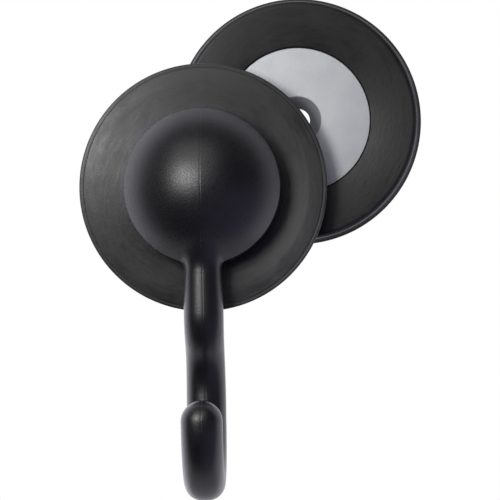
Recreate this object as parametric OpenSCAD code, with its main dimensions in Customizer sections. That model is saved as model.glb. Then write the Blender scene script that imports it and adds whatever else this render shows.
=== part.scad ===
// Two-piece magnetic hook: a screw-on counter disc and a matching disc that carries a J hook.
// The origin is the middle of the counter disc's back, which lies on the wall plane.
// +Z is up, the wall is at y = 0 and the hook stands out towards -Y. All sizes are in mm.

/* [Magnet disc] */
// Diameter over the rubber lip
disc_d = 66; // [60:0.5:84]
// Thickness from the contact face to the back
disc_t = 8.5; // [8:0.5:14]
// Radius of the rounded edge at the contact face
contact_round = 1.4; // [0.6:0.1:2]
// How far the thin lip stands out at the back edge
lip_w = 1; // [0.4:0.1:2]
// Thickness of the lip
lip_t = 0.9; // [0.5:0.1:1.5]
// How far the back face falls away towards its edge
fall_h = 0.3; // [0.1:0.1:0.6]
// Width of the ring in which it falls away
fall_w = 3.7; // [1:0.1:5]
// Edge break where the back face meets the lip
back_round = 0.4; // [0.2:0.1:0.6]
// Rubber left over the yoke plate at the back
skin_t = 0.8; // [0.5:0.1:1.5]

/* [Magnet core] */
// Diameter of the steel face plate
plate_d = 38.8; // [34:0.2:47]
// How far the face plate lies below the rubber
recess = 0.5; // [0.2:0.1:1]
// Hole for the wall screw
hole_d = 6.5; // [4.5:0.1:8]
// Mouth of the 90 degree countersink
sink_d = 12.7; // [11:0.1:15]
// Straight wall of the hole under the countersink
sink_land = 0.3; // [0.2:0.1:0.8]
// Thickness of the yoke plate
yoke_t = 1.2; // [0.8:0.1:1.5]
// How far the yoke plate reaches past the magnet, into the rubber
yoke_edge = 2.6; // [1:0.1:4]
// Wall of the centre bush
bush_wall = 1.5; // [1:0.1:2]
// Width of the bush's flange
flange_w = 2; // [1:0.1:3]

/* [Hook] */
// Diameter of the dome
dome_d = 41.6; // [36:0.4:54]
// Wall of the dome
dome_wall = 3; // [2:0.2:4]
// Height of the upright skirt under the dome's cap
skirt_h = 8; // [6:0.5:10]
// Slope of the cap where it meets the skirt
cap_a = 58; // [52:1:66]
// Diameter of the boss round the threaded insert
boss_d = 16; // [14:0.5:19]
// Thickness of the ribs between the boss and the dome
rib_t = 2.4; // [1.5:0.1:3]
// Diameter of the bar where it leaves the dome
neck_d = 10; // [8:0.2:11]
// Diameter of the bar below the disc
bar_d = 10.5; // [9:0.1:13]
// Squareness of the bar's section: 1 is a circle, and less is flatter at the front and sides
bar_full = 0.88; // [0.7:0.02:1]
// Diameter of the rounded end of the hook
tip_d = 11; // [10:0.1:14]
// Air between the bar and the back of its disc
bar_clear = 1.5; // [0.3:0.1:3]
// Distance below the disc's rim at which the bar starts to bend back
bend_drop = 0.6; // [0:0.2:8]
// Radius of the first half of the backward bend
bend_r = 9.7; // [8:0.1:16]
// Radius of its second half, which turns the bar upright again
return_r = 19.7; // [10:0.1:24]
// Steepest angle of the backward bend
bend_a = 47; // [30:1:52]
// Straight length between the backward bend and the hook's bend
leg_l = 7; // [2:0.2:20]
// Centre line radius of the hook's bend
hook_r = 15.6; // [12:0.2:22]

/* [Screw] */
// Diameter of the screw
screw_d = 6; // [5:0.5:6]
// Diameter of the countersunk head
head_d = 12; // [10.5:0.1:12]
// Length of the screw over its head
screw_l = 16; // [14:1:18]
// Width across the flats of the hexagon socket
socket_af = 4; // [3:0.5:5]
// Depth of the socket
socket_depth = 2.3; // [1.5:0.1:2.8]
// Outer diameter of the threaded insert
insert_d = 9; // [8:0.1:10]
// Metal left between the end of the thread and the end of the insert
insert_floor = 1.5; // [1:0.1:2]
// Depth of the groove that keeps the insert in the plastic
insert_groove = 0.6; // [0.3:0.1:0.9]

/* [Fits] */
// Air between the two contact faces
face_gap = 0.1; // [0.05:0.05:0.3]
// Air between the dome and the back of its disc
seat_gap = 0.1; // [0.05:0.05:0.3]
// Radial clearance of the screw in the bush it turns in
pivot_gap = 0.05; // [0.02:0.01:0.1]
// Air between the screw's head and its countersink
head_gap = 0.15; // [0.05:0.05:0.3]
// Air round the screw in the threaded insert
thread_gap = 0.05; // [0.02:0.01:0.1]
// Air round the magnet's bore and the bush's flange
bush_gap = 0.1; // [0.05:0.05:0.3]
// Visible groove between the face plate and the rubber
plate_gap = 0.2; // [0.1:0.05:0.4]
// Thread left free past the end of the screw
end_gap = 0.8; // [0.5:0.1:2]

/* [Position] */
// How far the hook's disc stands to the left of the counter disc
shift_x = 25.2; // [0:0.1:40]
// How far the hook's disc stands below the counter disc
shift_z = 17.8; // [0:0.1:40]

/* [Hidden] */
$fn = 96;

// Heights in a disc, measured from its contact face
sink_depth = (sink_d - hole_d) / 2;
plate_top = recess + sink_depth + sink_land;
yoke_foot = disc_t - skin_t - yoke_t;
yoke_top = disc_t - skin_t;

// Radii in a disc
side_r = disc_d / 2 - lip_w;
plate_r = plate_d / 2;
pocket_r = plate_r + plate_gap;
yoke_r = plate_r + yoke_edge;
hole_r = hole_d / 2;
screw_r = screw_d / 2;
pivot_r = screw_r + pivot_gap;
bush_r = hole_r + bush_wall;
flange_r = bush_r + flange_w;

// Heights over the contact face of the hook's disc
foot_h = disc_t + seat_gap;
bar_h = disc_t + bar_clear + bar_d / 2;
leg_h = bar_h - (bend_r + return_r) * (1 - cos(bend_a));
tip_h = leg_h + 2 * hook_r;

// Heights along the bar, measured down from the middle of the disc
bend_y = -(disc_d / 2 + bend_drop);
leg_y = bend_y - (bend_r + return_r) * sin(bend_a);
hook_y = leg_y - leg_l;
neck_y = -(dome_d / 2 - dome_wall);
root_y = -boss_d / 4;

// The ball that the dome's cap is part of
cap_r = dome_d / 2 / sin(cap_a);
cap_h = foot_h + skirt_h - cap_r * cos(cap_a);
dome_top = cap_h + cap_r;

// Sides of the round bar, and how finely its bends and its tip are divided
bar_sides = 36;
bend_steps = 7;
hook_steps = 26;
tip_steps = 6;

// Screw and insert
head_h = recess + (sink_d - head_d) / 2 - head_gap;
screw_end = head_h + screw_l;
bore_end = screw_end + end_gap;
insert_end = bore_end + insert_floor;
groove_l = 2;
over = 1;

// ---- shared by both discs: drawn with the contact face at z = 0 and the back at z = disc_t ----

// Quarter circle of points about a centre, as part of an outline
function arc_points(centre, r, from, to, steps = 12) = [
    for (i = [0:steps])
        let (a = from + (to - from) * i / steps)
        centre + r * [cos(a), sin(a)]
];

// Outside of the rubber: rounded contact edge, side, lip, edge break and the falling ring
module rubber_outline() {
    lip_top = disc_t - fall_h - back_round;
    polygon(concat(
        [[0, 0]],
        arc_points([side_r - contact_round, contact_round], contact_round, -90, 0),
        [
            [side_r, lip_top - lip_t],
            [side_r + lip_w, lip_top - lip_t],
            [side_r + lip_w, lip_top],
            [side_r, lip_top]
        ],
        arc_points([side_r - back_round, lip_top], back_round, 0, 90, 6),
        [
            [side_r - back_round - fall_w, disc_t],
            [0, disc_t]
        ]
    ));
}

module rubber() {
    color("#3a3a3c")
        difference() {
            rotate_extrude() rubber_outline();
            translate([0, 0, -over]) cylinder(r = pocket_r, h = yoke_foot + over);
            translate([0, 0, yoke_foot]) cylinder(r = yoke_r, h = yoke_t);
            translate([0, 0, yoke_foot]) cylinder(r = flange_r + bush_gap, h = disc_t);
        }
}

// The 90 degree cone of the countersink, down to a radius. It reaches the bush under a thin screw.
module countersink_cone(end_r) {
    translate([0, 0, recess]) cylinder(r1 = sink_d / 2, r2 = end_r, h = sink_d / 2 - end_r);
}

module face_plate() {
    color("#b4b9c4")
        difference() {
            translate([0, 0, recess]) cylinder(r = plate_r, h = plate_top - recess);
            cylinder(r = hole_r, h = disc_t);
            countersink_cone(hole_r);
        }
}

module magnet() {
    color("#8d8f94")
        difference() {
            translate([0, 0, plate_top]) cylinder(r = plate_r, h = yoke_foot - plate_top);
            cylinder(r = bush_r + bush_gap, h = disc_t);
        }
}

module yoke_plate() {
    color("#9a9ca1")
        difference() {
            translate([0, 0, yoke_foot]) cylinder(r = yoke_r, h = yoke_t);
            cylinder(r = bush_r + bush_gap, h = disc_t);
        }
}

module bush(bore_r) {
    color("#a7a9ad")
        difference() {
            union() {
                translate([0, 0, plate_top]) cylinder(r = bush_r, h = disc_t - plate_top);
                translate([0, 0, yoke_top]) cylinder(r = flange_r, h = skin_t);
            }
            cylinder(r = bore_r, h = disc_t + over);
            countersink_cone(screw_r);
        }
}

// ---- hook: drawn with z as the height over its disc's contact face and y upwards ----

module foot_cut() {
    translate([-dome_d, -dome_d, foot_h - 2 * dome_d]) cube(2 * dome_d);
}

// The dome's outside, or the same shape further in: the cap of a ball over an upright skirt
module dome_body(inset) {
    intersection() {
        translate([0, 0, cap_h]) sphere(r = cap_r - inset);
        cylinder(r = dome_d / 2 - inset, h = dome_top);
    }
}

module insert_outline() {
    middle_h = (foot_h + insert_end) / 2;
    difference() {
        translate([0, 0, foot_h]) cylinder(d = insert_d, h = insert_end - foot_h);
        translate([0, 0, middle_h - groove_l / 2])
            difference() {
                cylinder(d = insert_d + over, h = groove_l);
                cylinder(d = insert_d - 2 * insert_groove, h = groove_l);
            }
    }
}

// Stations along the bar, from inside the dome to the tip. Each is a place [y, height], the
// direction of the bar there as an angle from +y towards the height, and the bar's radius.
function straight_stations() = [
    [[root_y, bar_h], 180, neck_d / 2],
    [[neck_y, bar_h], 180, neck_d / 2]
];

function bend_back_stations() = [
    for (i = [0:bend_steps])
        let (a = bend_a * i / bend_steps)
        [[bend_y - bend_r * sin(a), bar_h - bend_r * (1 - cos(a))], 180 + a, bar_d / 2]
];

function bend_down_stations() = [
    for (i = [bend_steps - 1:-1:0])
        let (a = bend_a * i / bend_steps)
        [[leg_y + return_r * sin(a), leg_h + return_r * (1 - cos(a))], 180 + a, bar_d / 2]
];

function hook_stations() = [
    for (i = [0:hook_steps])
        let (a = 180 * i / hook_steps, swell = (tip_d - bar_d) / 2)
        [
            [hook_y - hook_r * sin(a), leg_h + hook_r * (1 - cos(a))],
            180 - a,
            bar_d / 2 + swell * (1 - cos(a)) / 2
        ]
];

function tip_stations() = [
    for (i = [1:tip_steps - 1])
        let (a = 90 * i / tip_steps)
        [[hook_y + tip_d / 2 * sin(a), tip_h], 0, tip_d / 2 * cos(a)]
];

function fuller(share) = sign(share) * pow(abs(share), bar_full);

function ring_points(station) = [
    for (i = [0:bar_sides - 1])
        let (
            a = 360 * i / bar_sides,
            side = station[2] * fuller(cos(a)),
            up = station[2] * fuller(sin(a))
        )
        [
            side,
            station[0][0] - up * sin(station[1]),
            station[0][1] + up * cos(station[1])
        ]
];

module j_bar() {
    stations = concat(
        straight_stations(),
        bend_back_stations(),
        bend_down_stations(),
        hook_stations(),
        tip_stations()
    );
    rings = len(stations);
    tip_point = [0, hook_y + tip_d / 2, tip_h];
    points = concat([for (station = stations) each ring_points(station)], [tip_point]);
    sides = [
        for (ring = [0:rings - 2], i = [0:bar_sides - 1])
            let (
                low = ring * bar_sides,
                high = low + bar_sides,
                next = (i + 1) % bar_sides
            )
            each [
                [low + i, low + next, high + next],
                [low + i, high + next, high + i]
            ]
    ];
    last = (rings - 1) * bar_sides;
    cap = [for (i = [0:bar_sides - 1]) [last + i, last + (i + 1) % bar_sides, len(points) - 1]];
    root = [[for (i = [bar_sides - 1:-1:0]) i]];
    polyhedron(points = points, faces = concat(sides, cap, root));
}

module dome() {
    difference() {
        dome_body(0);
        dome_body(dome_wall);
    }
    intersection() {
        dome_body(dome_wall / 2);
        union() {
            cylinder(d = boss_d, h = dome_top);
            for (a = [45, 135])
                rotate([0, 0, a])
                    translate([-dome_d / 2, -rib_t / 2, 0])
                        cube([dome_d, rib_t, dome_top]);
        }
    }
}

module moulding() {
    color("#232227")
        difference() {
            union() {
                dome();
                j_bar();
            }
            foot_cut();
            insert_outline();
        }
}

module insert() {
    color("#b8964f")
        difference() {
            insert_outline();
            cylinder(r = screw_r + thread_gap, h = bore_end);
        }
}

module screw() {
    color("#85878c")
        difference() {
            union() {
                translate([0, 0, head_h])
                    cylinder(r1 = head_d / 2, r2 = screw_r, h = (head_d - screw_d) / 2);
                translate([0, 0, head_h]) cylinder(r = screw_r, h = screw_l);
            }
            translate([0, 0, head_h - over])
                cylinder(d = socket_af / cos(30), h = socket_depth + over, $fn = 6);
        }
}

// ---- places in the assembly ----

module on_wall() {
    translate([0, -disc_t, 0]) rotate([-90, 0, 0]) children();
}

module on_hook_side() {
    translate([-shift_x, -disc_t - face_gap, -shift_z]) rotate([90, 0, 0]) children();
}

module counter_rubber() { on_wall() rubber(); }
module counter_face_plate() { on_wall() face_plate(); }
module counter_magnet() { on_wall() magnet(); }
module counter_yoke_plate() { on_wall() yoke_plate(); }
module counter_bush() { on_wall() bush(hole_r); }
module base_rubber() { on_hook_side() rubber(); }
module base_face_plate() { on_hook_side() face_plate(); }
module base_magnet() { on_hook_side() magnet(); }
module base_yoke_plate() { on_hook_side() yoke_plate(); }
module base_bush() { on_hook_side() bush(pivot_r); }
module hook_moulding() { on_hook_side() moulding(); }
module thread_insert() { on_hook_side() insert(); }
module socket_screw() { on_hook_side() screw(); }

counter_rubber();
counter_face_plate();
counter_magnet();
counter_yoke_plate();
counter_bush();
base_rubber();
base_face_plate();
base_magnet();
base_yoke_plate();
base_bush();
hook_moulding();
thread_insert();
socket_screw();
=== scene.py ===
# %% [markdown]
# # A two-piece magnetic hook
# A hook like this comes as two round magnets in rubber. One is screwed to the wall through its
# steel plate, or put behind a sheet. The other carries a black plastic dome with a J hook.
# Everything here is in metres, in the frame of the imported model: the wall is the plane y = 0,
# +Z is up and the hook stands out towards -Y.

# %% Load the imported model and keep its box
import math
import bpy
import numpy as np
from mathutils import Matrix, Vector


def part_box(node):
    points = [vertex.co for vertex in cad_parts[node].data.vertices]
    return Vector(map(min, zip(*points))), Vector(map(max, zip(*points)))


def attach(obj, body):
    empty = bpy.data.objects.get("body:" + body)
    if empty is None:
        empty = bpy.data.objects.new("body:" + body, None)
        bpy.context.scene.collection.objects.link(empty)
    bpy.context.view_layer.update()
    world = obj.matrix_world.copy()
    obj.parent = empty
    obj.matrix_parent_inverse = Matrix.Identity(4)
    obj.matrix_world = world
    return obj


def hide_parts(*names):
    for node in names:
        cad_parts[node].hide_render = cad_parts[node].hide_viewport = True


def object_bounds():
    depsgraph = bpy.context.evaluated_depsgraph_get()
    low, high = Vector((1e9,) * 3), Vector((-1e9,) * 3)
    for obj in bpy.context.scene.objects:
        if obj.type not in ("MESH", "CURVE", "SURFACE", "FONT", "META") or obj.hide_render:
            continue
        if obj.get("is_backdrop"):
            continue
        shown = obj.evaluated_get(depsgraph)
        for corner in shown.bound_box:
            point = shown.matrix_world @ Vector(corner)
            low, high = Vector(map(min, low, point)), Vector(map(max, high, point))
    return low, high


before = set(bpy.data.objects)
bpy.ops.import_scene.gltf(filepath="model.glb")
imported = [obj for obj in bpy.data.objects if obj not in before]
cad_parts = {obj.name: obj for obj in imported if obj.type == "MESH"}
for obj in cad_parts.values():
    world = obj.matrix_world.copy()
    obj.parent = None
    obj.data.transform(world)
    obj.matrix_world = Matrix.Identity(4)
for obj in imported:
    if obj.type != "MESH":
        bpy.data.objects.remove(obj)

MM = 0.001
cad_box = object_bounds()
print("size in mm:", [round((b - a) / MM, 1) for a, b in zip(*cad_box)])

# %% [markdown]
# ## Sizes
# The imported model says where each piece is. Its boxes give the discs' radius, thickness and
# centres and the dome's radius, so the discs and the dome sit where the model has them. What a
# box doesn't show, such as the rounding of an edge, is given once in millimetres, in the cell
# that uses it.

# %% Read the places of the pieces from the model
counter_low, counter_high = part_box("counter_rubber")
base_low, base_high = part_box("base_rubber")
plate_low, plate_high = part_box("counter_face_plate")
hook_low, hook_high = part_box("hook_moulding")

disc_r = (counter_high.x - counter_low.x) / 2
disc_t = counter_high.y - counter_low.y
plate_r = (plate_high.x - plate_low.x) / 2
plate_t = plate_high.y - plate_low.y
recess = plate_low.y - counter_low.y
dome_r = (hook_high.x - hook_low.x) / 2
counter_axis = Vector((0, 0, 0))
hook_axis = Vector(((base_low.x + base_high.x) / 2, 0, (base_low.z + base_high.z) / 2))
print(f"disc {disc_r / MM:.1f} x {disc_t / MM:.1f} mm, plate radius {plate_r / MM:.1f} mm")
print(f"dome radius {dome_r / MM:.1f} mm, hook's axis at {[round(v / MM, 1) for v in hook_axis]}")

# %% [markdown]
# ## Small helpers
# A colour is given as the sRGB hex value that a paint chart would give, and turned to the linear
# values that the renderer works in. Every node tree below, for shapes and for materials alike,
# is built with one function that adds a node, sets it up and makes its links.

# %% Colour and node helpers
def linear(hex_colour):
    channels = [int(hex_colour[i : i + 2], 16) / 255 for i in (1, 3, 5)]
    made = [c / 12.92 if c <= 0.04045 else ((c + 0.055) / 1.055) ** 2.4 for c in channels]
    return (*made, 1.0)


def add(tree, kind, inputs=(), **settings):
    """Adds a node. Its inputs, in order or by name, are values or the sockets to link."""
    node = tree.nodes.new(kind)
    for name, value in settings.items():
        setattr(node, name, value)
    given = inputs if isinstance(inputs, dict) else dict(enumerate(inputs))
    for key, value in given.items():
        if isinstance(value, bpy.types.NodeSocket):
            tree.links.new(value, node.inputs[key])
        else:
            node.inputs[key].default_value = value
    return node


# %% [markdown]
# ## Geometry Nodes helpers
# A tree's sizes are its named inputs. A modifier's input is set by the socket's identifier, and
# the finished shape is turned into a plain mesh, because the export needs real faces.

# %% Make and run a Geometry Nodes tree
def new_tree(name, **sockets):
    """A geometry tree with a geometry input and output, and one named input for each size."""
    tree = bpy.data.node_groups.new(name, "GeometryNodeTree")
    tree.interface.new_socket("Geometry", in_out="INPUT", socket_type="NodeSocketGeometry")
    for label, kind in sockets.items():
        spaced = label.replace("_", " ")
        tree.interface.new_socket(spaced, in_out="INPUT", socket_type="NodeSocket" + kind)
    tree.interface.new_socket("Geometry", in_out="OUTPUT", socket_type="NodeSocketGeometry")
    return tree, add(tree, "NodeGroupInput").outputs


def finish_tree(tree, geometry, material):
    """Every tree ends in Realize Instances and Set Material, because the export drops instances."""
    real = add(tree, "GeometryNodeRealizeInstances", {"Geometry": geometry}).outputs[0]
    made = add(tree, "GeometryNodeSetMaterial", {"Geometry": real, "Material": material}).outputs[0]
    add(tree, "NodeGroupOutput", {"Geometry": made})


def polyline(name, points, values=None):
    """A mesh of edges through points, with named numbers stored on the points."""
    mesh = bpy.data.meshes.new(name)
    edges = [(i, i + 1) for i in range(len(points) - 1)]
    mesh.from_pydata([tuple(p) for p in points], edges, [])
    for label, numbers in (values or {}).items():
        mesh.attributes.new(label, "FLOAT", "POINT").data.foreach_set("value", numbers)
    made = bpy.data.objects.new(name, mesh)
    bpy.context.scene.collection.objects.link(made)
    return made


def run_tree(source, tree, **values):
    """Runs the tree on the object, then keeps the result as the object's plain mesh."""
    modifier = source.modifiers.new(tree.name, "NODES")
    modifier.node_group = tree
    for item in tree.interface.items_tree:
        label = item.name.replace(" ", "_")
        if item.in_out == "INPUT" and label in values:
            modifier[item.identifier] = values[label]
    bpy.context.view_layer.update()
    graph = bpy.context.evaluated_depsgraph_get()
    mesh = bpy.data.meshes.new_from_object(source.evaluated_get(graph), depsgraph=graph)
    source.modifiers.remove(modifier)
    old, source.data = source.data, mesh
    bpy.data.meshes.remove(old)
    print(f"{source.name}: {len(mesh.vertices)} points, {len(mesh.polygons)} faces")
    return source


# %% [markdown]
# ## Studio
# The object is shown on plain white. A black shiny part looks black only if what it mirrors is
# dark, so the studio is dark on the camera's side. White light comes from behind the object and
# from a wall at the back left. A key soft box stands at the upper left, a large weak cloth hangs
# above it, and a violet-tinted card glows at the lower right. The world's shade follows the
# direction in the room, not the camera's, and the camera's own rays see plain white.

# %% Camera
CAMERA_TURN = 1.912
CAMERA_RISE = -1.552
CAMERA_ROLL = -0.855
CAMERA_DISTANCE = 1330 * MM
LENS_MM = 360.06
AIM = Vector((-13.0, -15.0, -34.68)) * MM


def camera_axes(turn, rise, roll):
    """The camera's right, up and back directions, from angles in degrees."""
    turn, rise, roll = (math.radians(v) for v in (turn, rise, roll))
    back = Vector((math.sin(turn) * math.cos(rise), -math.cos(turn) * math.cos(rise), math.sin(rise)))
    right = (-back).cross(Vector((0, 0, 1))).normalized()
    up = right.cross(-back)
    return (
        right * math.cos(roll) + up * math.sin(roll),
        up * math.cos(roll) - right * math.sin(roll),
        back,
    )


def standing(place, axes):
    """The matrix of a camera or a lamp at a place, from its right, up and back directions."""
    return Matrix.Translation(place) @ Matrix(axes).transposed().to_4x4()


axes = camera_axes(CAMERA_TURN, CAMERA_RISE, CAMERA_ROLL)
camera_data = bpy.data.cameras.new("camera")
camera_data.lens = LENS_MM
camera_data.clip_start = 0.05
camera = bpy.data.objects.new("camera", camera_data)
camera.matrix_world = standing(AIM + axes[2] * CAMERA_DISTANCE, axes)
bpy.context.scene.collection.objects.link(camera)
bpy.context.scene.camera = camera
bpy.context.scene.view_settings.view_transform = "Standard"
print("camera at", [round(v, 3) for v in camera.matrix_world.translation])


# %% Lights
LIT_POINT = Vector((hook_axis.x, -20 * MM, hook_axis.z))


def soft_box(name, turn, rise, distance, width, height, radiance):
    """A rectangular soft box. Its power follows from how bright its cloth looks."""
    data = bpy.data.lights.new(name, "AREA")
    data.shape = "RECTANGLE"
    data.size = width
    data.size_y = height
    data.energy = radiance * math.pi * width * height
    lamp = bpy.data.objects.new(name, data)
    axes = camera_axes(turn, rise, 0)
    lamp.matrix_world = standing(LIT_POINT + axes[2] * distance, axes)
    bpy.context.scene.collection.objects.link(lamp)
    return lamp


key = soft_box("key soft box", -22, 11, distance=0.5, width=0.15, height=0.18, radiance=16)
cloth = soft_box("overhead cloth", -14, 32, distance=0.56, width=0.5, height=0.5, radiance=1.7)
print("lamps:", key.name, "and", cloth.name)

# %% The studio's own light
world = bpy.data.worlds.new("studio")
bpy.context.scene.world = world
world.use_nodes = True
sky = world.node_tree
sky.nodes.clear()
direction = add(sky, "ShaderNodeTexCoord").outputs["Generated"]
DIM_ROOM = 0.006


def glow_from(turn, rise, inner, outer, strength):
    """A soft round patch of light in the world, by its angles in degrees."""
    middle = camera_axes(turn, rise, 0)[2]
    near = add(sky, "ShaderNodeVectorMath", (direction, middle), operation="DOT_PRODUCT").outputs[1]
    none, full = (math.cos(math.radians(angle)) for angle in (outer, inner))
    fall = (near, none, full, 0.0, strength)
    return add(sky, "ShaderNodeMapRange", fall, interpolation_type="SMOOTHSTEP").outputs[0]


backdrop = glow_from(180, 0, inner=82, outer=100, strength=1.35)
left_wall = glow_from(-128, 14, inner=12, outer=60, strength=1.1)
card = glow_from(56, -38, inner=26, outer=54, strength=0.46)
walls = add(sky, "ShaderNodeMath", (backdrop, left_wall), operation="ADD").outputs[0]
wall_light = add(sky, "ShaderNodeBackground", (linear("#f0f1fa"), walls)).outputs[0]
card_light = add(sky, "ShaderNodeBackground", (linear("#bcb2e2"), card)).outputs[0]
dim_light = add(sky, "ShaderNodeBackground", (linear("#ffffff"), DIM_ROOM)).outputs[0]
lit = add(sky, "ShaderNodeAddShader", (wall_light, card_light)).outputs[0]
room = add(sky, "ShaderNodeAddShader", (lit, dim_light)).outputs[0]
paper = add(sky, "ShaderNodeBackground", (linear("#ffffff"), 1.0)).outputs[0]
seen = add(sky, "ShaderNodeLightPath").outputs["Is Camera Ray"]
shown = add(sky, "ShaderNodeMixShader", (seen, room, paper)).outputs[0]
add(sky, "ShaderNodeOutputWorld", (shown,))
print("world:", len(sky.nodes), "nodes")

# %% [markdown]
# ## Materials
# Patterns are sized in real millimetres. `random_pattern` turns the width of a pattern's grain
# into the scale that a texture node wants when coordinates are in metres.

# %% Pattern helpers
def new_material(name):
    material = bpy.data.materials.new(name)
    material.use_nodes = True
    tree = material.node_tree
    tree.nodes.clear()
    return material, tree


def centred(tree, centre):
    """Object coordinates with the piece's axis moved to the middle."""
    place = add(tree, "ShaderNodeTexCoord").outputs["Object"]
    moved = {"Vector": place, "Location": -centre}
    return add(tree, "ShaderNodeMapping", moved, vector_type="POINT").outputs[0]


def from_axis(tree, place):
    """The way straight out from a turned piece's axis to a place, and how far it is."""
    out = add(tree, "ShaderNodeVectorMath", (place, (1, 0, 1)), operation="MULTIPLY").outputs[0]
    return out, add(tree, "ShaderNodeVectorMath", (out,), operation="LENGTH").outputs["Value"]


def random_pattern(tree, place, size_mm, detail, roughness, low=0.0, high=1.0):
    """Random grain of a real size. What lies between low and high is stretched from 0 to 1."""
    look = {"Vector": place, "Scale": 1 / (size_mm * MM), "Detail": detail, "Roughness": roughness}
    grain = add(tree, "ShaderNodeTexNoise", look).outputs["Fac"]
    return add(tree, "ShaderNodeMapRange", (grain, low, high)).outputs[0]


def shade(tree, **inputs):
    """Ends a material: the main shader with these inputs, and the output."""
    names = {key.replace("_", " "): value for key, value in inputs.items()}
    shader = add(tree, "ShaderNodeBsdfPrincipled", names).outputs[0]
    add(tree, "ShaderNodeOutputMaterial", (shader,))


# %% [markdown]
# ### Moulded rubber
# The jackets are carbon-black rubber, cured in a steel mould. Carbon black takes nearly all the
# light, and what is left is a broad, milky sheen. Handling leaves smudges and rubbed streaks
# that run round the disc, where it was wiped and turned against its partner. The noise for the
# streaks is read on a small ring, so each streak stays long round the disc and narrow across it.

# %% Rubber, moulded
STREAK_R = 6 * MM


def moulded_rubber(name, centre, dark, light, drawn, sheen):
    material, tree = new_material(name)
    place = centred(tree, centre)
    out, radius = from_axis(tree, place)
    x, _, z = add(tree, "ShaderNodeSeparateXYZ", (out,)).outputs
    ring = []
    for side in (x, z):
        share = add(tree, "ShaderNodeMath", (side, radius), operation="DIVIDE").outputs[0]
        ring.append(add(tree, "ShaderNodeMath", (share, STREAK_R), operation="MULTIPLY").outputs[0])
    round_disc = add(tree, "ShaderNodeCombineXYZ", (*ring, radius)).outputs[0]
    streaks = random_pattern(tree, round_disc, 1.3, 4, 0.6, 0.38, 0.62)
    smudges = random_pattern(tree, place, 11, 3, 0.55, 0.35, 0.65)
    dust = random_pattern(tree, place, 0.5, 2, 0.6, 0.45, 0.75)
    wear = 0.0
    for pattern, share in ((streaks, 0.4), (smudges, 0.45), (dust, 0.15)):
        wear = add(tree, "ShaderNodeMath", (pattern, share, wear), operation="MULTIPLY_ADD").outputs[0]
    blacks = {0: wear, 6: linear(dark), 7: linear(light)}
    rubbed = random_pattern(tree, round_disc, 0.8, 4, 0.65)
    skin = random_pattern(tree, place, 0.35, 2, 0.6)
    marks = {"Height": rubbed, "Distance": 0.05 * MM, "Strength": 0.8}
    marked = add(tree, "ShaderNodeBump", marks).outputs[0]
    grain = {"Height": skin, "Distance": 0.02 * MM, "Strength": 0.4, "Normal": marked}
    across = add(
        tree,
        "ShaderNodeVectorTransform",
        (out,),
        vector_type="VECTOR",
        convert_from="OBJECT",
        convert_to="WORLD",
    ).outputs[0]
    shade(
        tree,
        Base_Color=add(tree, "ShaderNodeMix", blacks, data_type="RGBA").outputs[2],
        Roughness=add(tree, "ShaderNodeMapRange", (wear, 0, 1, 0.34, 0.5)).outputs[0],
        IOR=1.52,
        Specular_IOR_Level=sheen,
        Anisotropic=drawn,
        Tangent=across,
        Normal=add(tree, "ShaderNodeBump", grain).outputs[0],
    )
    return material


# %% [markdown]
# ### Satin plastic
# The dome and the hook are one injection moulding in black plastic. The mould was spark-eroded,
# which leaves a fine, even grain: highlights turn soft, and sparkle a little inside. The real
# grain is about a tenth of a millimetre, and it is drawn four times as coarse so that it shows.

# %% Plastic, injection moulded with a spark-eroded grain
def satin_plastic(name, centre):
    material, tree = new_material(name)
    place = centred(tree, centre)
    grain = random_pattern(tree, place, 0.42, 2, 0.7)
    flow = random_pattern(tree, place, 9, 2, 0.5, 0.35, 0.65)
    blacks = {0: flow, 6: linear("#0f0e11"), 7: linear("#141317")}
    pits = {"Height": grain, "Distance": 0.05 * MM, "Strength": 0.8}
    shade(
        tree,
        Base_Color=add(tree, "ShaderNodeMix", blacks, data_type="RGBA").outputs[2],
        Roughness=add(tree, "ShaderNodeMapRange", (grain, 0.3, 0.7, 0.30, 0.42)).outputs[0],
        IOR=1.5,
        Normal=add(tree, "ShaderNodeBump", pits).outputs[0],
    )
    return material


# %% [markdown]
# ### Zinc-plated steel, matt
# The face plate is stamped from mild steel and zinc plated. The bath leaves a matt, faintly
# bluish grey with a very fine crystal, and the plate spreads a highlight over its whole face.
# The crystal is drawn at 0.3 mm, coarser than it is, so that it shows. The countersink gets a
# darker grey than the stamped face, which is painted shade for the recess.

# %% Steel, zinc plated
SINK_R, SINK_BREAK = 6.35, 0.12


def zinc_plate(name, centre):
    material, tree = new_material(name)
    place = centred(tree, centre)
    radius = from_axis(tree, place)[1]
    sink = (SINK_R - SINK_BREAK / 2) * MM
    drilled = add(tree, "ShaderNodeMath", (radius, sink), operation="LESS_THAN").outputs[0]
    crystal = random_pattern(tree, place, 0.3, 3, 0.6)
    cloud = random_pattern(tree, place, 7, 3, 0.5, 0.35, 0.65)
    greys = {0: cloud, 6: linear("#bbbdc0"), 7: linear("#c1c3c5")}
    face = add(tree, "ShaderNodeMix", greys, data_type="RGBA").outputs[2]
    # Inside the countersink the grey is darker: painted shade for the recess.
    face_or_painted_shade_sink = {0: drilled, 6: face, 7: linear("#909196")}
    matt = add(tree, "ShaderNodeMapRange", (crystal, 0.3, 0.7, 0.55, 0.68)).outputs[0]
    pits = {"Height": crystal, "Distance": 0.02 * MM, "Strength": 0.35}
    shade(
        tree,
        Base_Color=add(tree, "ShaderNodeMix", face_or_painted_shade_sink, data_type="RGBA").outputs[2],
        Metallic=add(tree, "ShaderNodeMix", {0: drilled, 2: 0.6, 3: 0.3}).outputs[0],
        Roughness=add(tree, "ShaderNodeMix", {0: drilled, 2: matt, 3: 0.5}).outputs[0],
        Normal=add(tree, "ShaderNodeBump", pits).outputs[0],
    )
    return material


# %% [markdown]
# ### The hidden metals
# The magnet, the yoke plate and the bush sit inside the rubber, and the screw and the insert
# inside the dome. They show only when a piece is taken off, but each gets its own finish.

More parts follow.
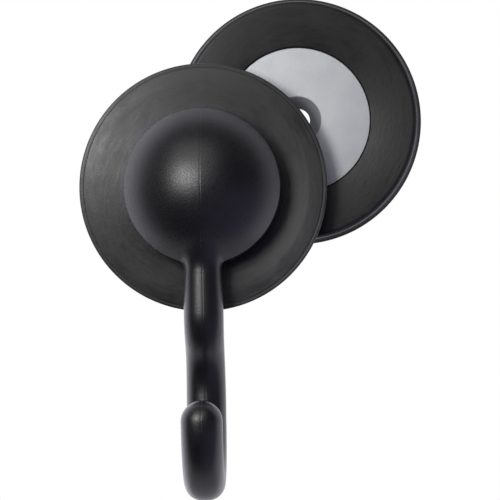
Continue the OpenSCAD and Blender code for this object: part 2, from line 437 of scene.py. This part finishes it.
# %% Metals of the inner pieces
def turned_metal(name, centre, light, dark, groove_mm, roughness):
    """A metal with fine marks that run round its axis, as a lathe or a polishing disc leaves them."""
    material, tree = new_material(name)
    place = centred(tree, centre)
    radius = from_axis(tree, place)[1]
    rings = add(tree, "ShaderNodeCombineXYZ", (radius,)).outputs[0]
    grooves = random_pattern(tree, rings, groove_mm, 3, 0.6)
    stain = random_pattern(tree, place, 3, 3, 0.5, 0.35, 0.65)
    shades = {0: stain, 6: linear(dark), 7: linear(light)}
    gloss = (grooves, 0.3, 0.7, roughness - 0.06, roughness + 0.06)
    cuts = {"Height": grooves, "Distance": 0.01 * MM, "Strength": 0.5}
    shade(
        tree,
        Base_Color=add(tree, "ShaderNodeMix", shades, data_type="RGBA").outputs[2],
        Metallic=1.0,
        Roughness=add(tree, "ShaderNodeMapRange", gloss).outputs[0],
        Normal=add(tree, "ShaderNodeBump", cuts).outputs[0],
    )
    return material


plastic = satin_plastic("satin black plastic, moulded", hook_axis)
# The counter disc's rubber is a darker copy of the hook disc's. Its darker colours are painted shade,
# for the weaker light it gets, and it also has less sheen.
rubber_on_wall_painted_darker = moulded_rubber(
    "moulded rubber, counter disc", counter_axis, "#0d0d0e", "#212122", drawn=0.55, sheen=0.28
)
rubber_on_hook = moulded_rubber(
    "moulded rubber, hook disc", hook_axis, "#131313", "#2b2b2b", drawn=0.7, sheen=0.5
)
zinc_on_wall = zinc_plate("zinc plated steel, counter disc", counter_axis)
zinc_on_hook = zinc_plate("zinc plated steel, hook disc", hook_axis)
INNER_METALS = {
    "magnet": ("nickel plated magnet", "#b9b7b2", "#a5a39e", 0.5, 0.3),
    "yoke_plate": ("rolled steel", "#9b9c9f", "#85868a", 0.4, 0.42),
    "bush": ("turned steel", "#a9aaad", "#93959a", 0.25, 0.3),
    "thread_insert": ("turned brass", "#cfae6a", "#b8924d", 0.25, 0.28),
    "socket_screw": ("zinc plated screw steel", "#a7aab0", "#8f9298", 0.25, 0.34),
}


def dress_inner_pieces():
    for node_name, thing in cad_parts.items():
        for kind, (finish, light, dark, groove_mm, roughness) in INNER_METALS.items():
            if node_name.endswith(kind):
                centre = counter_axis if node_name.startswith("counter") else hook_axis
                name = f"{finish}, {node_name}"
                metal = turned_metal(name, centre, light, dark, groove_mm, roughness)
                thing.data.materials.clear()
                thing.data.materials.append(metal)
                print("finish:", node_name, "-", finish)


dress_inner_pieces()

# %% [markdown]
# ## Turned shapes
# The jackets, the plates and the dome are all a section turned about an axis along Y. One tree
# makes them: it takes the section as a line of points, each holding its radius in X and its
# place along the axis in Y, lays a grid with one row for each point, and wraps the grid round.
# `Crowding` gathers the columns towards the top and the bottom, where the dome's mould seam
# runs, so that a seam a quarter of a millimetre wide has points to stand on.

# %% The turning tree
WELD = 0.001 * MM


def crowded_angle(tree, share, crowding):
    """The angle for a share of a turn. Crowding gathers angles at one and three quarters of it."""
    even = add(tree, "ShaderNodeMath", (share, 2 * math.pi), operation="MULTIPLY").outputs[0]
    twice = add(tree, "ShaderNodeMath", (even, 2), operation="MULTIPLY").outputs[0]
    wave = add(tree, "ShaderNodeMath", (twice,), operation="SINE").outputs[0]
    half = add(tree, "ShaderNodeMath", (crowding, 2), operation="DIVIDE").outputs[0]
    pull = add(tree, "ShaderNodeMath", (wave, half), operation="MULTIPLY").outputs[0]
    return add(tree, "ShaderNodeMath", (even, pull), operation="ADD").outputs[0]


def turning_tree():
    tree, inputs = new_tree(
        "turned about an axis",
        Columns="Int",
        Closed="Bool",
        Crowding="Float",
        Axis="Vector",
        Sharp_Above="Float",
        Material="Material",
    )
    section = inputs["Geometry"]
    place = add(tree, "GeometryNodeInputPosition").outputs[0]
    size = add(tree, "GeometryNodeAttributeDomainSize", {"Geometry": section})
    count = size.outputs["Point Count"]
    rows = add(tree, "ShaderNodeMath", (count, inputs["Closed"]), operation="ADD").outputs[0]
    columns = add(tree, "ShaderNodeMath", (inputs["Columns"], 1), operation="ADD").outputs[0]
    grid = add(tree, "GeometryNodeMeshGrid", (1.0, 1.0, rows, columns)).outputs["Mesh"]
    across, along, _ = add(tree, "ShaderNodeSeparateXYZ", (place,)).outputs
    down = add(tree, "ShaderNodeMath", (across, 0.5), operation="ADD").outputs[0]
    last = add(tree, "ShaderNodeMath", (rows, 1), operation="SUBTRACT").outputs[0]
    row = add(tree, "ShaderNodeMath", (down, last), operation="MULTIPLY").outputs[0]
    row = add(tree, "ShaderNodeMath", (row,), operation="ROUND").outputs[0]
    index = add(tree, "ShaderNodeMath", (row, count), operation="MODULO").outputs[0]
    sample = {"Geometry": section, "Value": place, "Index": index}
    point = add(tree, "GeometryNodeSampleIndex", sample, data_type="FLOAT_VECTOR").outputs[0]
    radius, height, _ = add(tree, "ShaderNodeSeparateXYZ", (point,)).outputs
    share = add(tree, "ShaderNodeMath", (along, 0.5), operation="ADD").outputs[0]
    angle = crowded_angle(tree, share, inputs["Crowding"])
    turned = []
    for wave in ("COSINE", "SINE"):
        part = add(tree, "ShaderNodeMath", (angle,), operation=wave).outputs[0]
        turned.append(add(tree, "ShaderNodeMath", (radius, part), operation="MULTIPLY").outputs[0])
    wrapped = add(tree, "ShaderNodeCombineXYZ", (turned[0], height, turned[1])).outputs[0]
    placed = add(tree, "ShaderNodeVectorMath", (wrapped, inputs["Axis"]), operation="ADD").outputs[0]
    shape = add(tree, "GeometryNodeSetPosition", {"Geometry": grid, "Position": placed}).outputs[0]
    joined = add(tree, "GeometryNodeMergeByDistance", {"Geometry": shape, "Distance": WELD}).outputs[0]
    bend = add(tree, "GeometryNodeInputMeshEdgeAngle").outputs["Unsigned Angle"]
    limit = {"A": bend, "B": inputs["Sharp Above"]}
    soft = add(tree, "FunctionNodeCompare", limit, operation="LESS_THAN").outputs[0]
    all_soft = {"Geometry": joined, "Shade Smooth": True}
    faces = add(tree, "GeometryNodeSetShadeSmooth", all_soft, domain="FACE").outputs[0]
    most_soft = {"Geometry": faces, "Shade Smooth": soft}
    edges = add(tree, "GeometryNodeSetShadeSmooth", most_soft, domain="EDGE").outputs[0]
    finish_tree(tree, edges, inputs["Material"])
    return tree


turning = turning_tree()


def arc(centre, radius, start, end, steps):
    """Points on part of a circle, in a section."""
    angles = np.radians(np.linspace(start, end, steps + 1))
    return [(centre[0] + radius * math.cos(a), centre[1] + radius * math.sin(a)) for a in angles]


def turn(
    name, section_mm, axis, columns, material, contact_y, outwards, closed=True, crowding=0.0, sharp=40
):
    """Turns a section of (radius, height) points in mm. Heights run outwards from contact_y."""
    points = [(r * MM, contact_y + outwards * h * MM, 0) for r, h in section_mm]
    area = sum(a[0] * b[1] - b[0] * a[1] for a, b in zip(points, points[1:] + points[:1]))
    if area < 0:
        points.reverse()
    return run_tree(
        polyline(name, points),
        turning,
        Columns=columns,
        Closed=closed,
        Crowding=crowding,
        Axis=axis,
        Sharp_Above=math.radians(sharp),
        Material=material,
    )


# %% [markdown]
# ## Rubber jackets
# Both discs wear the same jacket. Its contact face is flat with a rounded edge. At the back a
# thin lip of rubber stands out all round, where the two halves of the mould met. It rises from
# the side in a steep slope, and inside it the back face falls away gently from a faint crease.
# Both catch the light at the rim.

# %% The jacket's section and the two jackets
CONTACT_ROUND = 1.4
LIP_W, LIP_T, LIP_ROUND = 1.0, 0.9, 0.44
BACK_ROUND = 0.4
CROWN_H, CROWN_W = 0.5, 3.7
CREASE = 3.6
DRAFT_W, DRAFT_H = 0.55, 1.1
SKIN_T, YOKE_T, YOKE_EDGE = 0.8, 1.2, 2.6
PLATE_GAP = 0.2
FLANGE_R = 6.85
POCKET_ROUND = 0.25
JACKET_COLUMNS = 288
CROWN_STEPS = 6


def crown(start_r, start_h, curve_r, first, last):
    """Points along a gentle outward fall, from the angle first to the angle last, in degrees."""
    lean = math.radians(first)
    centre = (start_r - curve_r * math.sin(lean), start_h - curve_r * math.cos(lean))
    return arc(centre, curve_r, 90 - first, 90 - last, CROWN_STEPS)


def jacket_section():
    side = disc_r / MM - LIP_W
    top = disc_t / MM
    ring = top - CROWN_H
    lip_top = ring - BACK_ROUND
    lip_foot = lip_top - LIP_T
    pocket = plate_r / MM + PLATE_GAP
    yoke = plate_r / MM + YOKE_EDGE
    yoke_top = top - SKIN_T
    slope = math.degrees(math.atan2(CROWN_H, CROWN_W))
    crown_r = CROWN_W / 2 / math.sin(math.radians(slope - CREASE))
    crown_in = side - BACK_ROUND - CROWN_W
    return [
        *arc((pocket + POCKET_ROUND, POCKET_ROUND), POCKET_ROUND, 180, 270, 4),
        *arc((side - CONTACT_ROUND, CONTACT_ROUND), CONTACT_ROUND, -90, 0, 14),
        (side, lip_foot - DRAFT_H),
        (side + DRAFT_W, lip_foot),
        *arc((side + LIP_W - LIP_ROUND, lip_foot + LIP_ROUND), LIP_ROUND, -20, 0, 3),
        *arc((side + LIP_W - LIP_ROUND, lip_top - LIP_ROUND), LIP_ROUND, 0, 90, 4),
        (side, lip_top),
        *arc((side - BACK_ROUND, lip_top), BACK_ROUND, 0, 90, 6),
        *crown(crown_in, top, crown_r, CREASE, 2 * slope - CREASE)[::-1][1:],
        (FLANGE_R, top),
        (FLANGE_R, yoke_top),
        (yoke, yoke_top),
        (yoke, yoke_top - YOKE_T),
        (pocket, yoke_top - YOKE_T),
    ]


jacket = jacket_section()
counter_jacket = turn(
    "counter_jacket", jacket, counter_axis, JACKET_COLUMNS, rubber_on_wall_painted_darker, counter_low.y, 1
)
hook_jacket = turn(
    "hook_disc_jacket", jacket, hook_axis, JACKET_COLUMNS, rubber_on_hook, base_high.y, -1
)

# %% [markdown]
# ## Face plates
# A steel plate with a 90 degree countersink. The stamped outer edge and the drilled edges are
# broken by a tenth or two of a millimetre, which is enough for the edge to draw a fine line.

# %% The plate's section and the two plates
HOLE_R = 3.25
EDGE_BREAK = 0.2
PLATE_COLUMNS = 192
PLATE_SHARP = 25


def plate_section():
    outer = plate_r / MM
    foot = recess / MM
    top = foot + plate_t / MM
    sink_top = foot + SINK_R - HOLE_R
    return [
        (outer, foot + EDGE_BREAK),
        (outer, top),
        (HOLE_R, top),
        (HOLE_R, sink_top),
        (SINK_R - SINK_BREAK, foot + SINK_BREAK),
        (SINK_R + SINK_BREAK, foot),
        *arc((outer - EDGE_BREAK, foot + EDGE_BREAK), EDGE_BREAK, -90, 0, 4)[:-1],
    ]


plate = plate_section()
counter_plate = turn(
    "counter_plate",
    plate,
    counter_axis,
    PLATE_COLUMNS,
    zinc_on_wall,
    counter_low.y,
    1,
    sharp=PLATE_SHARP,
)
hook_plate = turn(
    "hook_disc_plate",
    plate,
    hook_axis,
    PLATE_COLUMNS,
    zinc_on_hook,
    base_high.y,
    -1,
    sharp=PLATE_SHARP,
)

# %% [markdown]
# ## Dome
# The dome is a shallow cap on a short upright skirt, with a wall of 3 mm and a boss for the
# threaded insert. It is turned from one section. Its ribs are flat plates that cross in the boss.

# %% Section of the dome
WALL = 3.0
SKIRT_H = 8.0
CAP_EDGE = 58
RIM_ROUND = 1.2
BOSS_R = 8.0
INSERT_R = 4.5
DOME_COLUMNS = 320
CAP_STEPS, SKIRT_STEPS, INNER_STEPS = 90, 19, 24
SEAM_CROWDING = 0.8
insert_low, insert_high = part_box("thread_insert")
foot_y = insert_high.y
dome_centre = Vector((hook_axis.x, foot_y, hook_axis.z))
insert_depth = (insert_high.y - insert_low.y) / MM
cap_r = dome_r / MM / math.sin(math.radians(CAP_EDGE))
cap_centre_h = SKIRT_H - cap_r * math.cos(math.radians(CAP_EDGE))
print(f"dome: cap radius {cap_r:.2f} mm, {cap_centre_h + cap_r:.2f} mm tall")


def cap_angle(radius_mm, wall=0.0):
    """Angle from the foot's plane at which the cap, less the wall, has this radius."""
    return math.degrees(math.acos(radius_mm / (cap_r - wall)))


def dome_section():
    outer = dome_r / MM
    inner = outer - WALL
    round_r = outer - RIM_ROUND
    round_angle = math.degrees(math.acos(round_r / (cap_r - RIM_ROUND)))
    round_h = cap_centre_h + (cap_r - RIM_ROUND) * math.sin(math.radians(round_angle))
    cap = (0, cap_centre_h)
    return [
        *arc(cap, cap_r, 90, round_angle, CAP_STEPS),
        *arc((round_r, round_h), RIM_ROUND, round_angle, 0, 8)[1:],
        *[(outer, h) for h in np.linspace(round_h, 0, SKIRT_STEPS + 1)[1:]],
        (inner, 0),
        *arc(cap, cap_r - WALL, cap_angle(inner, WALL), cap_angle(BOSS_R, WALL), INNER_STEPS),
        (BOSS_R, 0),
        (INSERT_R, 0),
        (INSERT_R, insert_depth),
        (0, insert_depth),
    ]


# %% Ribs across the boss
RIB_T = 2.4
NOTCH_CLEAR = 0.5
notch_r = INSERT_R + NOTCH_CLEAR


def rib_plate(name, angle):
    """A plate through the dome's axis, turned about it by angle, that ends inside the wall."""
    side = dome_r / MM - WALL / 2
    low_angle = cap_angle(side, WALL / 2)
    notch_h = insert_depth + NOTCH_CLEAR
    under_cap = arc((0, cap_centre_h), cap_r - WALL / 2, low_angle, 180 - low_angle, 40)
    profile = [(side, 0), *under_cap, (-side, 0)]
    profile += [(-notch_r, 0), (-notch_r, notch_h), (notch_r, notch_h), (notch_r, 0)]
    turned = Matrix.Rotation(math.radians(angle), 3, "Y")
    points = []
    for face in (-RIB_T / 2, RIB_T / 2):
        points += [dome_centre + turned @ (Vector((x, -h, face)) * MM) for x, h in profile]
    n = len(profile)
    faces = [list(range(n)), list(range(2 * n - 1, n - 1, -1))]
    faces += [[i, i + n, (i + 1) % n + n, (i + 1) % n] for i in range(n)]
    mesh = bpy.data.meshes.new(name)
    mesh.from_pydata([tuple(p) for p in points], [], faces)
    rib = bpy.data.objects.new(name, mesh)
    bpy.context.scene.collection.objects.link(rib)
    return rib


dome = turn(
    "dome",
    dome_section(),
    hook_axis,
    DOME_COLUMNS,
    plastic,
    foot_y,
    -1,
    closed=False,
    crowding=SEAM_CROWDING,
)
ribs = [rib_plate(f"rib_{angle}", angle) for angle in (45, 135)]

# %% [markdown]
# ## J hook
# The bar follows a path in the plane of the mould seam. It runs down over the disc's edge,
# bends back towards the wall, drops straight and turns up into the hook. Its thickness changes
# a little on the way: it swells at the disc's rim, is thinnest in the backward bend, and ends in
# a slightly fatter round tip. Its section is a little fuller than a circle, so that the front is
# flatter. Path and thickness are two rules, and Curve to Mesh does the rest.

# %% Path of the bar
BAR_CLEAR = 1.5
BAR_R = 5.25
BAR_FULL = 0.88
BEND_DROP = 0.6
BACK_BEND_R, RETURN_R, BACK_BEND_A = 9.7, 19.7, 47
LEG_L = 7.0
HOOK_R = 15.6
TIP_R = 5.5
STEP = 0.5
bar_h = disc_t / MM + BAR_CLEAR + BAR_R
bend_y = -(disc_r / MM + BEND_DROP)
leg_h = bar_h - (BACK_BEND_R + RETURN_R) * (1 - math.cos(math.radians(BACK_BEND_A)))
leg_y = bend_y - (BACK_BEND_R + RETURN_R) * math.sin(math.radians(BACK_BEND_A))
hook_y = leg_y - LEG_L
tip_h = leg_h + 2 * HOOK_R


def spread(start, end, length):
    """Numbers from start to end, one for each step of the bar's length, without the first."""
    return np.linspace(start, end, max(2, round(length / STEP)) + 1)[1:]


def bend(centre, radius, start, end):
    """Places on a bend, by the angle from the bar's upward direction."""
    angles = np.radians(spread(start, end, radius * math.radians(abs(end - start))))
    return [(centre[0] + radius * math.sin(a), centre[1] + radius * math.cos(a)) for a in angles]


root_y = -notch_r
path = [(root_y, bar_h)]
path += [(y, bar_h) for y in spread(root_y, bend_y, root_y - bend_y)]
path += bend((bend_y, bar_h - BACK_BEND_R), BACK_BEND_R, 0, -BACK_BEND_A)
path += bend((leg_y, leg_h + RETURN_R), RETURN_R, 180 - BACK_BEND_A, 180)
path += [(y, leg_h) for y in spread(leg_y, hook_y, LEG_L)]
path += bend((hook_y, leg_h + HOOK_R), HOOK_R, 180, 360)
tip_start = len(path) - 1
path += [(hook_y + TIP_R * math.sin(a), tip_h) for a in np.radians(np.linspace(0, 89.5, 16))[1:]]
path = np.array(path)
length = np.concatenate([[0], np.cumsum(np.hypot(*np.diff(path, axis=0).T))])
print("bar:", len(path), "stations,", round(float(length[-1]), 1), "mm long")

# %% Thickness of the bar along its path
NECK_R, RIM_R, WAIST_R = 4.95, 5.3, 5.12
AVERAGED = 13
down = -path[:, 0]
falling = slice(0, int(np.argmax(down)) + 1)
marks = [dome_r / MM, disc_r / MM, -(bend_y + leg_y) / 2, -leg_y, -hook_y]
stations = [*np.interp(marks, down[falling], length[falling]), length[tip_start]]
radius = np.interp(length, stations, [NECK_R, RIM_R, WAIST_R, BAR_R, BAR_R, TIP_R])
padded = np.pad(radius, AVERAGED // 2, mode="edge")
radius = np.convolve(padded, np.ones(AVERAGED) / AVERAGED, mode="valid")
past_tip = np.clip(length - length[tip_start], 0, TIP_R)
radius = np.where(past_tip > 0, np.sqrt(TIP_R**2 - past_tip**2), radius)
print("bar radius in mm:", radius.min().round(3), "to", radius.max().round(2))


# %% The sweeping tree
BAR_COLUMNS = 96


def sweeping_tree():
    tree, inputs = new_tree(
        "bar along a path",
        Columns="Int",
        Crowding="Float",
        Fullness="Float",
        Across="Vector",
        Material="Material",
    )
    line = add(tree, "GeometryNodeMeshToCurve", {"Mesh": inputs["Geometry"]}).outputs[0]
    stored = add(tree, "GeometryNodeInputNamedAttribute", {"Name": "width"}, data_type="FLOAT")
    width = stored.outputs["Attribute"]
    thick = add(tree, "GeometryNodeSetCurveRadius", {"Curve": line, "Radius": width}).outputs[0]
    upright = {"Curve": thick, "Normal": inputs["Across"]}
    free = add(tree, "GeometryNodeSetCurveNormal", upright, mode="FREE").outputs[0]
    circle = {"Resolution": inputs["Columns"], "Radius": 1.0}
    ring = add(tree, "GeometryNodeCurvePrimitiveCircle", circle).outputs[0]
    index = add(tree, "GeometryNodeInputIndex").outputs[0]
    share = add(tree, "ShaderNodeMath", (index, inputs["Columns"]), operation="DIVIDE").outputs[0]
    angle = crowded_angle(tree, share, inputs["Crowding"])
    sides = []
    for wave in ("COSINE", "SINE"):
        part = add(tree, "ShaderNodeMath", (angle,), operation=wave).outputs[0]
        sign = add(tree, "ShaderNodeMath", (part,), operation="SIGN").outputs[0]
        size = add(tree, "ShaderNodeMath", (part,), operation="ABSOLUTE").outputs[0]
        fuller = add(tree, "ShaderNodeMath", (size, inputs["Fullness"]), operation="POWER").outputs[0]
        sides.append(add(tree, "ShaderNodeMath", (sign, fuller), operation="MULTIPLY").outputs[0])
    place = add(tree, "ShaderNodeCombineXYZ", sides).outputs[0]
    section = add(tree, "GeometryNodeSetPosition", {"Geometry": ring, "Position": place}).outputs[0]
    sweep = {"Curve": free, "Profile Curve": section, "Scale": width, "Fill Caps": True}
    swept = add(tree, "GeometryNodeCurveToMesh", sweep).outputs[0]
    finish_tree(tree, swept, inputs["Material"])
    return tree


def beside_wall(up_mm, h_mm):
    """A point in the seam's plane, from its place on the hook disc in mm."""
    return Vector((hook_axis.x, base_high.y - h_mm * MM, hook_axis.z + up_mm * MM))


bar = run_tree(
    polyline("bar", [beside_wall(*p) for p in path], {"width": radius * MM}),
    sweeping_tree(),
    Columns=BAR_COLUMNS,
    Crowding=SEAM_CROWDING,
    Fullness=BAR_FULL,
    Across=Vector((1, 0, 0)),
    Material=plastic,
)

# %% [markdown]
# The dome, its ribs and the bar are one moulding, so they are joined for real with a Mesh
# Boolean. After that the corner where the bar leaves the dome gets the small fillet that every
# moulding has: small at the bar's sides and wide on its crest. The halves of the mould don't
# quite follow one curve, so they meet like a very flat roof, with a fine groove along the ridge.

# %% Join the moulding
def joining_tree():
    tree, inputs = new_tree(
        "moulded together", Bar="Object", First_Rib="Object", Second_Rib="Object", Material="Material"
    )
    union = add(tree, "GeometryNodeMeshBoolean", operation="UNION", solver="MANIFOLD")
    tree.links.new(inputs["Geometry"], union.inputs["Mesh 2"])
    for label in ("Bar", "First Rib", "Second Rib"):
        part = add(tree, "GeometryNodeObjectInfo", {"Object": inputs[label]}).outputs["Geometry"]
        tree.links.new(part, union.inputs["Mesh 2"])
    together = {"Geometry": union.outputs["Mesh"], "Distance": 2 * WELD}
    clean = add(tree, "GeometryNodeMergeByDistance", together).outputs[0]
    finish_tree(tree, clean, inputs["Material"])
    return tree


dome.name = "hook_and_dome"
hook = run_tree(dome, joining_tree(), Bar=bar, First_Rib=ribs[0], Second_Rib=ribs[1], Material=plastic)
for used_up in (bar, *ribs):
    bpy.data.objects.remove(used_up)

# %% Where the moulded surfaces are
NEVER_ZERO = 1e-12


def points_of(mesh):
    flat = np.empty(len(mesh.vertices) * 3)
    mesh.vertices.foreach_get("co", flat)
    return flat.reshape(-1, 3)


def set_points(mesh, points):
    mesh.vertices.foreach_set("co", points.ravel())
    mesh.update()


def dome_distance(points):
    """Distance in metres from the dome's outside, and the direction straight out of it."""
    from_cap = points - np.array(beside_wall(0, (base_high.y - foot_y) / MM + cap_centre_h))
    to_cap = np.linalg.norm(from_cap, axis=1) + NEVER_ZERO
    from_side = points - np.array(hook_axis)
    from_side[:, 1] = 0
    to_side = np.linalg.norm(from_side, axis=1) + NEVER_ZERO
    cap, side = to_cap - cap_r * MM, to_side - dome_r
    way = np.where((cap > side)[:, None], from_cap / to_cap[:, None], from_side / to_side[:, None])
    return np.maximum(cap, side), way


def neck_distance(points):
    """Distance in metres from the bar's straight neck, and the direction straight out of it."""
    from_bar = points - np.array([hook_axis.x, base_high.y - bar_h * MM, 0])
    from_bar[:, 2] = 0
    to_bar = np.linalg.norm(from_bar, axis=1) + NEVER_ZERO
    thick = np.interp(hook_axis.z - points[:, 2], down[falling] * MM, radius[falling] * MM)
    power = 2 / BAR_FULL
    shares = np.abs(from_bar[:, :2]) / to_bar[:, None]
    thick = thick / np.sum(shares**power, axis=1) ** (1 / power)
    return to_bar - thick, from_bar / to_bar[:, None]


# %% Fillet at the neck
SIDE_FILLET, CREST_FILLET = 1.5, 3.4
SKIN, REACH = 0.06, 8.0
FOOT_CLEAR, FOOT_FADE = 0.02, 1.5
ROUNDS = 8


def round_the_neck(mesh):
    """Moves the points in the corner onto one smooth surface that blends the dome and the bar."""
    points = points_of(mesh)
    dome_away, neck_away = dome_distance(points)[0] / MM, neck_distance(points)[0] / MM
    near = np.minimum(np.abs(dome_away), np.abs(neck_away)) < SKIN
    near &= (dome_away > -SKIN) & (neck_away > -SKIN) & (dome_away < REACH) & (neck_away < REACH)
    near &= (points[:, 2] < hook_axis.z) & (points[:, 1] < foot_y - FOOT_CLEAR * MM)
    start = points[near]
    moved = start.copy()
    fade = np.clip((foot_y - moved[:, 1]) / (FOOT_FADE * MM), 0, 1)[:, None]
    for _ in range(ROUNDS):
        a, to_a = dome_distance(moved)
        b, to_b = neck_distance(moved)
        crest = np.clip(-to_b[:, 1], 0, 1) ** 2
        fillet = (SIDE_FILLET + (CREST_FILLET - SIDE_FILLET) * crest) * MM
        share = np.clip(0.5 + 0.5 * (b - a) / fillet, 0, 1)
        distance = b * (1 - share) + a * share - fillet * share * (1 - share)
        way = to_b * (1 - share)[:, None] + to_a * share[:, None]
        way /= np.linalg.norm(way, axis=1)[:, None]
        moved = moved - distance[:, None] * way
    points[near] = start + (moved - start) * fade
    set_points(mesh, points)
    furthest = float(np.abs(moved - start).max() / MM)
    print("fillet:", int(near.sum()), "points looked at,", round(furthest, 2), "mm the most")


round_the_neck(hook.data)

# %% The parting line
ROOF_D, ROOF_W = 0.13, 3.0
GROOVE_D, GROOVE_W = 0.045, 0.1
OUTER_SKIN, RIM_CLEAR = 0.1, 0.3
SHARP_ABOVE = 40


def shape_parting_line(mesh):
    """Both halves fall away from the line like a very flat roof, with a fine groove on its ridge."""
    points = points_of(mesh)
    normals = np.array([v.normal for v in mesh.vertices])
    off = np.abs(points[:, 0] - hook_axis.x) / MM
    outside = dome_distance(points)[0] > -OUTER_SKIN * MM
    outside &= points[:, 1] < foot_y - RIM_CLEAR * MM
    below_dome = hook_axis.z - points[:, 2] > dome_r + OUTER_SKIN * MM
    roof = ROOF_D * (1 - np.exp(-off / ROOF_W))
    groove = GROOVE_D * np.exp(-((off / GROOVE_W) ** 2) / 2)
    normals[:, 0] = 0
    points -= normals * ((roof + groove) * MM * (outside | below_dome))[:, None]
    set_points(mesh, points)
    print("parting line:", int((groove > GROOVE_D / 9).sum()), "points in the groove")


shape_parting_line(hook.data)
for face in hook.data.polygons:
    face.use_smooth = True
hook.data.set_sharp_from_angle(angle=math.radians(SHARP_ABOVE))

# %% [markdown]
# ## Floor
# A plain pale floor. The hook hangs on a wall nearly a metre above it, and the floor begins a
# quarter of a metre in front of the wall, so that the dome doesn't mirror it.

# %% Floor
def make_floor(below_m, radius_m, behind_m):
    level = cad_box[0].z - below_m
    angles = np.linspace(0, 2 * math.pi, 96, endpoint=False)
    ring = [(math.cos(a) * radius_m, math.sin(a) * radius_m + behind_m, level) for a in angles]
    mesh = bpy.data.meshes.new("floor")
    mesh.from_pydata(ring, [], [list(range(len(ring)))])
    floor = bpy.data.objects.new("floor", mesh)
    material, tree = new_material("pale painted board")
    speck = random_pattern(tree, centred(tree, Vector((0, 0, 0))), 40, 2, 0.5, 0.3, 0.7)
    whites = {0: speck, 6: linear("#e9e9e9"), 7: linear("#eeeeee")}
    paint = add(tree, "ShaderNodeMix", whites, data_type="RGBA").outputs[2]
    shade(tree, Base_Color=paint, Roughness=0.9)
    mesh.materials.append(material)
    bpy.context.scene.collection.objects.link(floor)
    floor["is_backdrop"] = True
    print("floor:", round(level, 3), "m")


make_floor(below_m=0.9, radius_m=1.0, behind_m=0.75)

# %% [markdown]
# ## Put each piece on its body
# A piece moves with the body of the node that it stands for.

# %% Bodies, replaced nodes and slots
PLACES = [
    (counter_jacket, "counter_disc", "counter_rubber", "rubber"),
    (counter_plate, "counter_disc", "counter_face_plate", "zinc_plate"),
    (hook_jacket, "hook_disc", "base_rubber", "rubber"),
    (hook_plate, "hook_disc", "base_face_plate", "zinc_plate"),
    (hook, "hook", "hook_moulding", "black_plastic"),
]
for piece, body, node_name, slot in PLACES:
    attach(piece, body)
    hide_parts(node_name)
    print(piece.name, "rides on", body, "for", node_name)

# %% Sizes of the CAD model and of what is shown
made_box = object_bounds()
past = [[round((m - c) / MM, 3) for m, c in zip(a, b)] for a, b in zip(made_box, cad_box)]
print("shown minus CAD, mm:", past)
